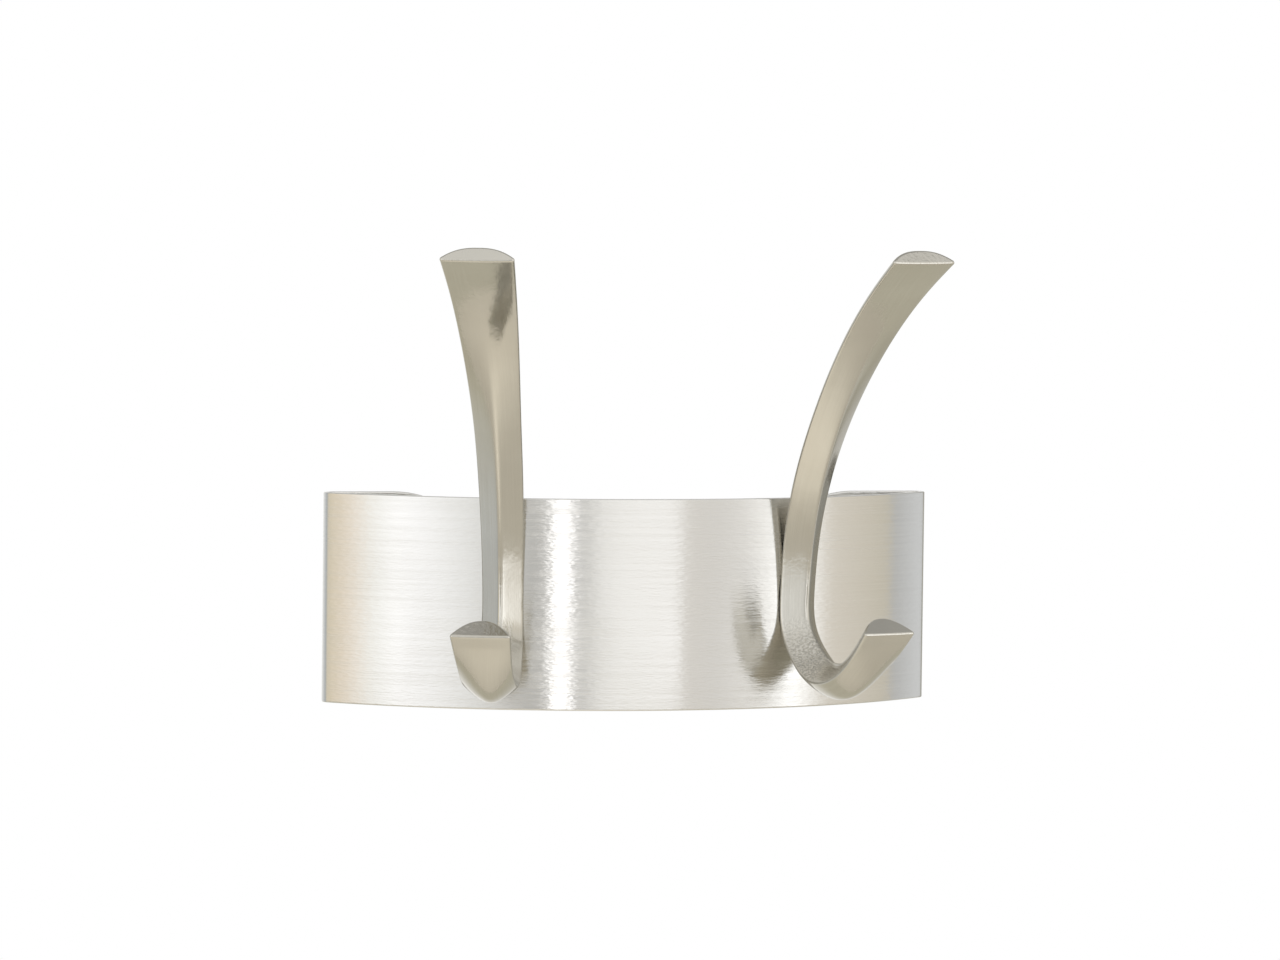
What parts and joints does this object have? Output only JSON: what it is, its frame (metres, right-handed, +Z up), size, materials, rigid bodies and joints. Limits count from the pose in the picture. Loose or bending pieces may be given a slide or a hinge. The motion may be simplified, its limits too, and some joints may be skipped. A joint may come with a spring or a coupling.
{
  "type": "wall hook rack",
  "caption": "Bowed strip of brushed sheet metal hung on the wall by two folded-back keyholed ears, carrying a pair of solid double hooks with a tall upper arm and a short lower curl",
  "frame": {"origin": "on the wall plane, midway between the two ears and at half the height of the band", "axes": "+X to the viewer's right along the band, +Y into the wall, +Z up; the front of the rack faces -Y"},
  "size_m": [0.2256, 0.1211, 0.1676],
  "materials": {
    "brushed_stainless": "brushed along the band",
    "satin_nickel": "satin plated, softly polished",
    "zinc_plated_steel": "bright zinc plate",
    "spring_steel": "dark oiled"
  },
  "bodies": {
    "root": {"band": "brushed_stainless", "left_hook": "satin_nickel", "right_hook": "satin_nickel", "left_upper_screw": "zinc_plated_steel", "left_upper_flat_washer": "zinc_plated_steel", "left_upper_spring_washer": "spring_steel", "left_lower_screw": "zinc_plated_steel", "left_lower_flat_washer": "zinc_plated_steel", "left_lower_spring_washer": "spring_steel", "right_upper_screw": "zinc_plated_steel", "right_upper_flat_washer": "zinc_plated_steel", "right_upper_spring_washer": "spring_steel", "right_lower_screw": "zinc_plated_steel", "right_lower_flat_washer": "zinc_plated_steel", "right_lower_spring_washer": "spring_steel"}
  },
  "joints": []
}
